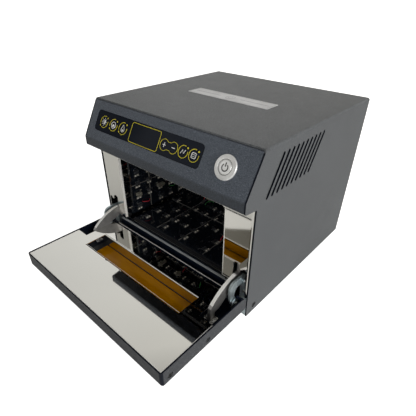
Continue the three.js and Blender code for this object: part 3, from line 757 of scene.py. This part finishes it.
def button_symbol():
    """The power symbol engraved on the button's cap."""
    symbol = Shape(on_slope)
    line = 1.15
    low, high = BUTTON_CAP_TOP - 0.15, BUTTON_CAP_TOP + 0.03
    symbol.stroke(arc(BUTTON_U, BUTTON_V + 0.4, 3.4, -55, 235, 28), line, low, high)
    symbol.stroke([(BUTTON_U, BUTTON_V - 4.6), (BUTTON_U, BUTTON_V - 0.6)], line, low, high)
    symbol.piece("button_symbol", ENGRAVING_AND_GROOVE_SHADE, "power_button", "steel")


panel_outlines()
panel_symbols()
# Dark rings are painted shade in the flange's grooves; the pale ring is a painted highlight.
button_rings("button_groove_shade", ENGRAVING_AND_GROOVE_SHADE, 0.03, ((8.2, 1.1), (10.7, 0.5)))
button_rings("button_highlight_ring", PAINTED_HIGHLIGHT, 0.02, ((9.3, 0.5),))
button_symbol()

# --- the top ---

PLAQUE_MIDDLE = (-2, 121)
PLAQUE_HALF = (64, 13)


def top_plaque():
    """A blank pale plaque with a thin border and plain lines, stuck on the cover's top."""
    a, b = PLAQUE_MIDDLE
    half_a, half_b = PLAQUE_HALF
    flat = Shape(lambda x, y, z: spot(x, y, TOP + z))
    flat.prism(rounded_box(a - half_a, a + half_a, b - half_b, b + half_b, 2.0), 0.02, 0.3)
    flat.piece("top_plaque", PLAQUE, "case", "cover_paint")
    inset = 2
    low, high = 0.25, 0.33
    lines = Shape(flat.place)
    border = rounded_box(a - half_a + inset, a + half_a - inset, b - half_b + inset, b + half_b - inset, 1.4)
    lines.band(border, 0.6, low, high)
    for start in (-58, 16):
        lines.stroke([(a + start, b), (a + start + 42, b)], 1.4, low, high)
    lines.band(ring(a, b, 6.2, 32), 0.8, low, high)
    lines.band(ring(a, b, 3.0, 24), 0.6, low, high)
    lines.piece("top_plaque_lines", PLAQUE_LINE, "case", "cover_paint")


top_plaque()

# --- screws and hinges ---

BRACKET_SCREW_Z = (34.0, 49.0)
# The stay arms' two feet, as (x0, x1, y0, y1), and the (x, y) places of their screws.
ARM_FEET = ((112.6, 116.8, -47.0, -35.6), (103.4, 108.0, -45.6, -37.2))
ARM_FOOT_Z = (16.55, 17.5)
ARM_FOOT_SCREWS = ((114.7, -44.2), (114.7, -38.4), (105.7, -41.4))
HANDS = (("left", -1), ("right", 1))


def countersunk(shape, origin, axis, head):
    """A countersunk screw of a given head radius, its face level with the origin."""
    shape.place = facing(origin, axis)
    shank = 0.45 * head
    depth = 2.6
    profile = [(shank, -depth - 3.0), (shank, -depth), (head, -0.3), (head, -0.05), (0.94 * head, 0.0)]
    cross_screw(shape, head, profile, top=0.0, depth=1.1)


def pan_head(shape, origin, axis, head):
    """A pan-head screw of a given head radius, seated at the origin."""
    shape.place = facing(origin, axis)
    rise = 0.55 * head
    profile = [(head, -0.3), (head, 0.35 * rise), (0.86 * head, 0.75 * rise), (0.66 * head, rise)]
    cross_screw(shape, head, profile, top=rise, depth=0.8 * rise)


def side_screw(piece_name, node, side, head, body):
    """A dark countersunk screw in a side wall, in place of the CAD's plain one."""
    low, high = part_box(node)
    outermost = high.x if side > 0 else low.x
    screw = Shape()
    countersunk(screw, Vector((outermost, (low.y + high.y) / 2, (low.z + high.z) / 2)), (side, 0, 0), head)
    piece = screw.piece(piece_name, DARK_STEEL, body, "steel")
    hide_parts(node)


def side_screws():
    """The screws in the sides of the cover and of the door."""
    for hand, side in HANDS:
        side_screw("cover_screw_head_" + hand, "cover_screw_" + hand, side, 3.3, "case")
        for number in ("_1", "_2"):
            side_screw("door_screw_head_" + hand + number, "door_screw_" + hand + number, side, 2.9, "door")


def hinge_screws(hand, side):
    """A screw on the hinge pin's inner end, and two on the bracket."""
    low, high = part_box("hinge_pin_" + hand)
    inner = low.x if side > 0 else high.x
    pivot = Shape()
    pan_head(pivot, Vector((inner, (low.y + high.y) / 2, (low.z + high.z) / 2)), (-side, 0, 0), 2.3)
    pivot.piece("pivot_screw_" + hand, STEEL, "door", "steel")
    bracket = Shape()
    for z in BRACKET_SCREW_Z:
        pan_head(bracket, spot(side * 122.4, 3.25, z), (0, -1, 0), 2.2)
    bracket.piece("bracket_screws_" + hand, STEEL, "case", "steel")


def arm_feet(hand, side):
    """The small feet of a stay arm, pale with a painted highlight, and their screws."""
    foot = Shape(lambda a, b, c: spot(side * a, b, c))
    for outline in ARM_FEET:
        foot.prism(rounded_box(*outline, 1.0, 3), *ARM_FOOT_Z)
    foot.piece("arm_foot_" + hand, PAINTED_HIGHLIGHT, "door", "steel", 0.2)
    screws = Shape()
    for a, b in ARM_FOOT_SCREWS:
        pan_head(screws, spot(side * a, b, ARM_FOOT_Z[1]), (0, 0, 1), 1.9)
    screws.piece("arm_foot_screws_" + hand, STEEL, "door", "steel")


side_screws()
for hand, side in HANDS:
    hinge_screws(hand, side)
    arm_feet(hand, side)

# --- painted edge highlights and the trim strip ---

# Pale strips on the edges of polished sheet stand for their bright lines of light: painted highlights.
PLATE_TOP = (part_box("door_mirror_plate")[1].z - BASE) / MM
PLATE_HALF = 127.2
PLATE_FRONT, PLATE_NOTCH = -129.8, -58.2
SLOT_HALF = 89.6
ARM_CENTRE_Y, ARM_CENTRE_Z, ARM_RADIUS = 8.4, -15.9, 72.4


def door_edge_highlights():
    """Painted highlights on the edges of the door's polished plate: behind it, along the window's slot and
    round its rim.
    """
    rear = Shape(spot)
    rear.prism(rounded_box(-100, 100, -8.7, -7.8, 0.4, 4), 34.3, 34.52)
    rear.piece("door_rear_highlight", PAINTED_HIGHLIGHT, "door", "mirror_steel")
    slot = Shape(spot)
    slot.box((-SLOT_HALF, SLOT_HALF), (-39.9, -38.9), (PLATE_TOP - 0.1, PLATE_TOP + 0.1))
    slot.box((-SLOT_HALF, SLOT_HALF), (-69.3, -68.95), (PLATE_TOP - 0.1, PLATE_TOP + 0.08))
    slot.piece("window_slot_highlights", PAINTED_HIGHLIGHT, "door", "mirror_steel")
    rim = Shape(spot)
    width = 0.4
    heights = (PLATE_TOP - 0.1, PLATE_TOP + 0.07)
    rim.box((-PLATE_HALF, PLATE_HALF), (PLATE_FRONT, PLATE_FRONT + width), heights)
    for side in (-1, 1):
        rim.box(mirrored(side, PLATE_HALF - width, PLATE_HALF), (PLATE_FRONT + 0.5, PLATE_NOTCH), heights)
    rim.piece("plate_rim_highlight", PAINTED_HIGHLIGHT, "door", "mirror_steel")


def mouth_edge_highlights():
    """Painted highlights on the upright edges of the chamber's mouth: a thin line on the frame, and one just
    inside it.
    """
    mouth = Shape(spot)
    heights = (43.5, 136)
    for side in (-1, 1):
        mouth.box(mirrored(side, 91.6, 92.3), (-0.15, 0.3), heights)
        mouth.box(mirrored(side, 91.15, 91.45), (0.1, 3.4), heights)
    mouth.piece("mouth_edge_highlights", PAINTED_HIGHLIGHT, "case", "mirror_steel")


def arm_highlight_rims():
    """A painted highlight along each stay arm's curved back."""
    for hand, side in HANDS:
        rim = Shape(lambda a, b, c: spot(side * c, a, b))
        rim.stroke(arc(ARM_CENTRE_Y, ARM_CENTRE_Z, ARM_RADIUS + 0.05, 97, 133, 24), 0.4, 108.3, 112.3)
        rim.piece("arm_rim_highlight_" + hand, PAINTED_HIGHLIGHT, "door", "mirror_steel")


def ribbed_trim():
    """The pale strip along the rail's top, with a row of small ribs."""
    low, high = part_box("rail_trim")
    origin = Vector((0, low.y, low.z))
    half = high.x / MM
    depth = (high.y - low.y) / MM
    height = (high.z - low.z) / MM
    pitch, rib, margin = 2.0, 1.0, 0.3
    strip = Shape(lambda a, b, c: origin + Vector((a, b, c)) * MM)
    strip.box((-half, half), (0, depth), (0, 0.6 * height))
    for i in range(int(2 * half / pitch)):
        a = -half + (i + 0.5) * pitch
        strip.box((a - rib / 2, a + rib / 2), (margin, depth - margin), (0.5 * height, height))
    piece = strip.piece("rail_trim_ribbed", TRIM, "case", "pale_trim")
    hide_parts("rail_trim")


door_edge_highlights()
mouth_edge_highlights()
arm_highlight_rims()
ribbed_trim()

# --- the chamber ---

CELL_A, CELL_B = 19, 18   # the least size of a board's repeating cell
SKIPPED = 0.18            # the share of cells left empty
BOARD_FINISH = {
    "lamps": (CERAMIC, "board_black"),
    "lenses": (LENS, "board_black"),
    "chips": (CHIP, "black_plastic"),
    "pins": (STEEL, "steel"),
    "plugs": (CREAM, "black_plastic"),
    "red_leads": (RED, "black_plastic"),
    "green_leads": (GREEN, "black_plastic"),
}
BOARDS = {
    "floor": (0, 0, 1),
    "roof": (0, 0, -1),
    "left": (1, 0, 0),
    "right": (-1, 0, 0),
    "back": (0, -1, 0),
}
FIRST_SEED = 7


def board_face(node, inward):
    """A place function on a board's inner face, with the face's half sizes."""
    low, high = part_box(node)
    out = Vector(inward)
    size = high - low
    origin = (low + high) / 2 + Vector([out[i] * size[i] / 2 for i in range(3)])
    along = Vector((0, 1, 0)) if abs(out.y) < 0.5 else Vector((1, 0, 0))
    other = out.cross(along)
    half_a = abs(size.dot(along)) / 2 / MM
    half_b = abs(size.dot(other)) / 2 / MM

    def place(a, b, c):
        return origin + (a * along + b * other + c * out) * MM

    return place, half_a, half_b


def lamp(packages, lenses, a, b, turned):
    """One light-emitting package with its domed lens."""
    w, h = (1.9, 1.4) if turned else (1.4, 1.9)
    packages.prism(rounded_box(a - w, a + w, b - h, b + h, 0.3, 2), 0, 1.1)
    lenses.lathe(a, b, [(1.0, 1.0), (0.95, 1.35), (0.7, 1.65), (0.3, 1.8)], 10)


def resistor(shape, a, b):
    """A small flat part."""
    shape.box((a - 1.6, a + 1.6), (b - 0.8, b + 0.8), (0, 0.6))


def connector(shape, pins, a, b, ways):
    """A small shrouded connector with a row of pins."""
    pitch = 2.5
    half = pitch * ways / 2
    shape.band(rounded_box(a - half, a + half, b - 2.2, b + 2.2, 0.4, 2), 0.7, 0, 4.2)
    shape.box((a - half + 0.2, a + half - 0.2), (b - 2.0, b + 2.0), (0, 1.2))
    for i in range(ways):
        p = a - half + pitch * (i + 0.5)
        pins.box((p - 0.3, p + 0.3), (b - 0.3, b + 0.3), (1.0, 3.8))


def chip(shape, pins, a, b, legs):
    """A small packaged chip with its legs on two sides."""
    pitch = 1.3
    half = pitch * legs / 2
    shape.prism(rounded_box(a - half, a + half, b - 2.0, b + 2.0, 0.3, 2), 0.2, 1.6)
    for i in range(legs):
        p = a - half + pitch * (i + 0.5)
        for side in (-1, 1):
            pins.box((p - 0.2, p + 0.2), sorted((b + side * 1.9, b + side * 3.0)), (0, 0.5))


def can_and_block(chips, pins, a, b):
    """A round capacitor with a bright top, beside a square part."""
    chips.lathe(a - 2.8, b + 0.2, [(2.3, 0), (2.3, 3.4), (2.0, 3.8)], 14)
    pins.lathe(a - 2.8, b + 0.2, [(1.7, 3.7), (1.7, 3.95)], 14)
    chips.box((a + 1.2, a + 5.0), (b - 1.0, b + 1.4), (0, 2.2))


def wire(shape, rng, half_a, half_b):
    """A lead that rises off the board and drops back to it in an arc."""
    a = rng.uniform(-0.8, 0.55) * half_a
    b = rng.uniform(-0.8, 0.8) * half_b
    reach = rng.uniform(12, 26)
    turn = rng.uniform(-0.9, 0.9)
    steps, low, rise, margin = 12, 0.5, 4.6, 2
    points = []
    for i in range(steps + 1):
        t = i / steps
        p = a + reach * t * math.cos(turn)
        q = b + reach * t * math.sin(turn) * 0.5
        if abs(p) < half_a - margin and abs(q) < half_b - margin:
            points.append((p, q, low + rise * math.sin(math.pi * t)))
    if len(points) > 4:
        shape.rod(points, 0.6, 6)


def board_cell(shapes, rng, a, b, kind):
    """A pair of lamps, a resistor and one larger part, chosen by kind from 0 to 1."""
    for step in (-2.2, 2.2):
        lamp(shapes["lamps"], shapes["lenses"], a + step, b - 4.4, kind < 0.5)
    resistor(shapes["plugs" if kind < 0.2 else "chips"], a + rng.uniform(-6, 6), b + 6.4)
    if kind < 0.13:
        connector(shapes["plugs"], shapes["pins"], a, b + 1.8, rng.choice((3, 5, 6)))
    elif kind < 0.62:
        chip(shapes["chips"], shapes["pins"], a, b + 1.4, rng.choice((4, 5, 6)))
    else:
        can_and_block(shapes["chips"], shapes["pins"], a, b + 1.4)


def dress_board(side_name, inward, seed):
    """Rows of lamps in pairs, with resistors, chips, connectors and leads between them."""
    rng = random.Random(seed)
    place, half_a, half_b = board_face("led_board_" + side_name, inward)
    shapes = {key: Shape(place) for key in BOARD_FINISH}
    columns = int(2 * half_a / CELL_A)
    rows = int(2 * half_b / CELL_B)
    for i in range(columns):
        for j in range(rows):
            a = (i + 0.5 - columns / 2) * 2 * half_a / columns
            b = (j + 0.5 - rows / 2) * 2 * half_b / rows
            kind = rng.random()
            if rng.random() >= SKIPPED:
                board_cell(shapes, rng, a, b, kind)
    for _ in range(4):
        wire(shapes["red_leads"], rng, half_a, half_b)
    wire(shapes["green_leads"], rng, half_a, half_b)
    for key, (material, slot) in BOARD_FINISH.items():
        shapes[key].piece("chamber_" + side_name + "_" + key, material, "case", slot)


def floor_shade_strip():
    """A dark strip with rounded ends and a row of studs, between the rail and the floor's board: painted
    shade over the mirror floor's margin.
    """
    apron = Shape(spot)
    apron.prism(rounded_box(-91, 91, 11.2, 16.8, 1.5, 4), 35.72, 36.1)
    for a in range(-80, 81, 20):
        apron.lathe(a, 14, [(1.2, 36.0), (1.2, 36.3), (0.8, 36.5)], 12)
    apron.piece("chamber_shade_strip", BLACK, "case", "black_plastic", 0.1)


def seam_highlight_strips():
    """Thin strips over the joints between neighbouring boards, pale matte where polished steel shows bright
    lines: a painted highlight.
    """
    strips = Shape(spot)
    across, deep, upright = (-88, 88), (17.5, 165), (42.5, 132)
    on_floor, on_roof, on_back = (37.7, 38.4), (136.1, 136.8), (169.5, 170.3)
    belt = (86.4, 87.4)
    for side in (-1, 1):
        on_side = mirrored(side, 92.5, 93.3)
        strips.box(on_side, (49.2, 50.6), upright)
        strips.box(on_side, (108.2, 109.6), upright)
        strips.box(on_side, deep, belt)
    strips.box(across, (88.4, 89.6), on_floor)
    strips.box(across, (66.4, 67.8), on_roof)
    for a in (-44.6, 0, 44.6):
        strips.box((a - 0.6, a + 0.6), deep, (37.7, 38.3))
        strips.box((a - 0.6, a + 0.6), on_back, upright)
    strips.box(across, on_back, belt)
    strips.piece("chamber_seam_strips", SEAM_HIGHLIGHT, "case", "mirror_steel", 0.1)


for seed, (side_name, inward) in enumerate(BOARDS.items(), FIRST_SEED):
    dress_board(side_name, inward, seed)
floor_shade_strip()
seam_highlight_strips()

# --- the back and the underside ---

REAR_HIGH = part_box("rear_panel")[1]
REAR_FACE = (REAR_HIGH.y - FRONT_PLANE) / MM
BACKWARDS = (0, 1, 0)
PANEL_SCREW_X = 118


def vent_shade_screens():
    """A dark sheet with small ribs behind each row of side vents: painted shade that keeps the slits dark.
    """
    front, rear, foot, head = 14, 112, 32, 199
    behind_wall, pitch, rib = 2.0, 6, 1.0
    for hand, side in HANDS:
        screen = Shape(lambda a, b, c: spot(side * (SIDE - behind_wall - c), a, b))
        screen.box((front, rear), (foot, head), (0, 0.5))
        for b in range(foot + 4, head - 1, pitch):
            screen.box((front + 1, rear - 1), (b - rib / 2, b + rib / 2), (0.4, 0.9))
        screen.piece("vent_shade_screen_" + hand, BLACK, "case", "black_plastic")


def rear_panel_screws():
    """Ten screws round the rear panel."""
    panel = Shape()
    places = [(x, z) for x in (-PANEL_SCREW_X, -40, 40, PANEL_SCREW_X) for z in (8, TOP - 10)]
    places += [(-PANEL_SCREW_X, TOP / 2), (PANEL_SCREW_X, TOP / 2)]
    for x, z in places:
        pan_head(panel, spot(x, REAR_FACE, z), BACKWARDS, 2.9)
    panel.piece("rear_panel_screws", DARK_STEEL, "case", "steel")


def fan_screws():
    """A screw at each corner of the fan's frame."""
    low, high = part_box("fan_frame")
    inset = 4.2 * MM
    fan = Shape()
    for x in (low.x + inset, high.x - inset):
        for z in (low.z + inset, high.z - inset):
            pan_head(fan, Vector((x, REAR_HIGH.y, z)), BACKWARDS, 2.9)
    fan.piece("fan_screws", STEEL, "case", "steel")


def inlet_screws():
    """A countersunk screw at each end of the mains inlet."""
    low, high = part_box("mains_inlet")
    inset, lift = 4.4 * MM, 0.15 * MM
    inlet = Shape()
    for x in (low.x + inset, high.x - inset):
        countersunk(inlet, Vector((x, high.y + lift, (low.z + high.z) / 2)), BACKWARDS, 2.4)
    inlet.piece("inlet_screws", STEEL, "case", "steel")


def rating_label():
    """A blank rating label: a border and five plain lines."""
    label = Shape(lambda a, b, c: spot(-a, REAR_FACE + c, b))
    left, right, foot, head = 34, 112, 104, 152
    label.prism(rounded_box(left, right, foot, head, 1.5), 0.02, 0.22)
    label.piece("rating_label", LABEL, "case", "black_plastic")
    low, high = 0.15, 0.28
    lines = Shape(label.place)
    lines.band(rounded_box(left + 2, right - 2, foot + 2, head - 2, 1.0), 0.5, low, high)
    start, first, pitch, line = left + 8, head - 10, 7.2, 1.6
    for i, width in enumerate((58, 44, 62, 36, 52)):
        lines.box((start, start + width), (first - pitch * i, first + line - pitch * i), (low, high))
    lines.piece("rating_label_lines", BLACK, "case", "black_plastic")


def base_screws():
    """Screws that hold the base plate, none of them at its middle."""
    z = (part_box("base_plate")[0].z - BASE) / MM
    screws = Shape()
    for x in (-120, -60, 0, 60, 120):
        for y in (10, 120, 234):
            if (x, y) != (0, 120):
                pan_head(screws, spot(x, y, z), (0, 0, -1), 2.6)
    screws.piece("base_screws", DARK_STEEL, "case", "steel")


vent_shade_screens()
rear_panel_screws()
fan_screws()
inlet_screws()
rating_label()
base_screws()

# --- camera, light and floor ---

CAMERA_PLACE = (279.1, -241.6, 321.6)
CAMERA_AZIMUTH, CAMERA_ELEVATION, CAMERA_ROLL = 41.49, 33.67, 0.6
CAMERA_LENS = 29.94
CAMERA_SHIFT = (0.0046, 0.0322)

# Each light's name, place, target and size in metres, and power in watts.
LIGHTS = (
    ("key_light", (0.4, -0.2, 1.9), (0, 0, 0.1), (1.6, 1.6), 1.5),
    ("back_light", (-0.9, 1.5, 1.2), (0, 0, 0.1), (1.6, 1.2), 2),
    ("side_light", (1.95, -0.3, 0.75), (0.1, 0, 0.1), (1.2, 1.2), 24),
    ("fascia_light", (0.9, -1.5, 0.75), (0.05, -0.12, 0.17), (0.7, 0.5), 5.2),
    ("rim_light", (0.62, 1.6, 0.95), (0.13, 0.05, 0.2), (0.35, 0.7), 3),
    ("front_softbox", (-1.2, -1.66, 1.05), (0.02, -0.09, 0.03), (1.2, 0.56), 1.25),
)
# The surround is the product of three ramps along a direction's axis: start, end and their tones.
SURROUND = (
    ("Y", -0.8, 0.6, (0.09, 0.085, 0.07), (0.84, 0.84, 0.81)),
    ("X", -0.2, -0.75, (0.72, 0.70, 0.66), (1.0, 1.0, 1.0)),
    ("Z", 0.80, 0.97, (1.0, 1.0, 1.0), (0.10, 0.10, 0.11)),
)
FLOOR_SIZE = 400.0      # metres, so that no horizon shows
FLOOR_DROP = 0.0004     # metres below the feet


def camera():
    """The photograph's view: from the right and above, a little rolled."""
    data = bpy.data.cameras.new("camera")
    data.sensor_width = 36.0
    data.lens = CAMERA_LENS
    data.shift_x, data.shift_y = CAMERA_SHIFT
    data.clip_start = 0.01
    data.clip_end = 500.0
    eye = add_object("camera", data)
    turn = Matrix.Rotation(math.radians(CAMERA_AZIMUTH), 4, "Z")
    turn = turn @ Matrix.Rotation(math.pi / 2 - math.radians(CAMERA_ELEVATION), 4, "X")
    turn = turn @ Matrix.Rotation(math.radians(CAMERA_ROLL), 4, "Z")
    eye.matrix_world = Matrix.Translation(spot(*CAMERA_PLACE)) @ turn
    bpy.context.scene.camera = eye


def area_light(name, place, target, size, power):
    """A rectangular light aimed at a target."""
    data = bpy.data.lights.new(name, "AREA")
    data.shape = "RECTANGLE"
    data.size, data.size_y = size
    data.energy = power
    light = add_object(name, data)
    light.location = place
    light.rotation_euler = (Vector(target) - Vector(place)).to_track_quat("-Z", "Y").to_euler()


def for_camera(nodes, links, plain, seen, output):
    """One shader for what the camera sees directly, and a plain one for light and reflections."""
    mix = nodes.new("ShaderNodeMixShader")
    links.new(nodes.new("ShaderNodeLightPath").outputs["Is Camera Ray"], mix.inputs[0])
    links.new(plain.outputs[0], mix.inputs[1])
    links.new(seen.outputs[0], mix.inputs[2])
    links.new(mix.outputs[0], output.inputs[0])


def floor_paper():
    """White backdrop paper, a little brighter to the camera than in reflections."""
    material, shader, tree = new_material("pale_floor")
    tree.colour_range(shader, tree.noise(scale=2.0), (0.84, 0.84, 0.82), (0.87, 0.87, 0.85))
    set_inputs(shader, Roughness=0.8, Specular_IOR_Level=0.1)
    bright = tree.nodes.new("ShaderNodeBsdfPrincipled")
    pale = tree.ramp(tree.noise(scale=2.0), [(0.3, grey(0.91)), (0.7, grey(0.93))])
    tree.link(pale, bright.inputs["Base Color"])
    tree.link(pale, bright.inputs["Emission Color"])
    set_inputs(bright, Roughness=0.8, Specular_IOR_Level=0.1, Emission_Strength=0.95)
    output = next(node for node in tree.nodes if node.type == "OUTPUT_MATERIAL")
    for_camera(tree.nodes, tree.links, shader, bright, output)
    return material


def surround_tone(nodes, links, along, start, end, low, high):
    """A tone that runs from low to high as a direction's axis goes from start to end."""
    span = nodes.new("ShaderNodeMapRange")
    span.inputs["From Min"].default_value = start
    span.inputs["From Max"].default_value = end
    links.new(along, span.inputs["Value"])
    ramp = nodes.new("ShaderNodeValToRGB")
    ramp.color_ramp.elements[0].color = (*low, 1)
    ramp.color_ramp.elements[1].color = (*high, 1)
    links.new(span.outputs[0], ramp.inputs[0])
    return ramp.outputs[0]


def surround():
    """A pale room, darker in front and overhead, and a white backdrop for the camera."""
    world = bpy.data.worlds.new("studio")
    bpy.context.scene.world = world
    world.use_nodes = True
    nodes = world.node_tree.nodes
    links = world.node_tree.links
    split = nodes.new("ShaderNodeSeparateXYZ")
    links.new(nodes.new("ShaderNodeTexCoord").outputs["Generated"], split.inputs[0])
    sky = None
    for axis, *limits in SURROUND:
        tone = surround_tone(nodes, links, split.outputs[axis], *limits)
        if sky is None:
            sky = tone
            continue
        product = nodes.new("ShaderNodeMix")
        product.data_type = "RGBA"
        product.blend_type = "MULTIPLY"
        product.inputs[0].default_value = 1.0
        links.new(sky, product.inputs[6])
        links.new(tone, product.inputs[7])
        sky = product.outputs[2]
    links.new(sky, nodes["Background"].inputs["Color"])
    backdrop = nodes.new("ShaderNodeBackground")
    backdrop.inputs["Color"].default_value = (1.0, 1.0, 1.0, 1.0)
    backdrop.inputs["Strength"].default_value = 1.1
    for_camera(nodes, links, nodes["Background"], backdrop, nodes["World Output"])


def studio():
    """Soft lights, the surround and a wide white floor."""
    for light in LIGHTS:
        area_light(*light)
    surround()
    bpy.ops.mesh.primitive_plane_add(size=FLOOR_SIZE, location=(0, 0, -FLOOR_DROP))
    floor = bpy.context.object
    floor.name = "floor"
    floor.data.materials.append(floor_paper())
    bpy.context.scene.view_settings.view_transform = "Standard"


camera()
studio()
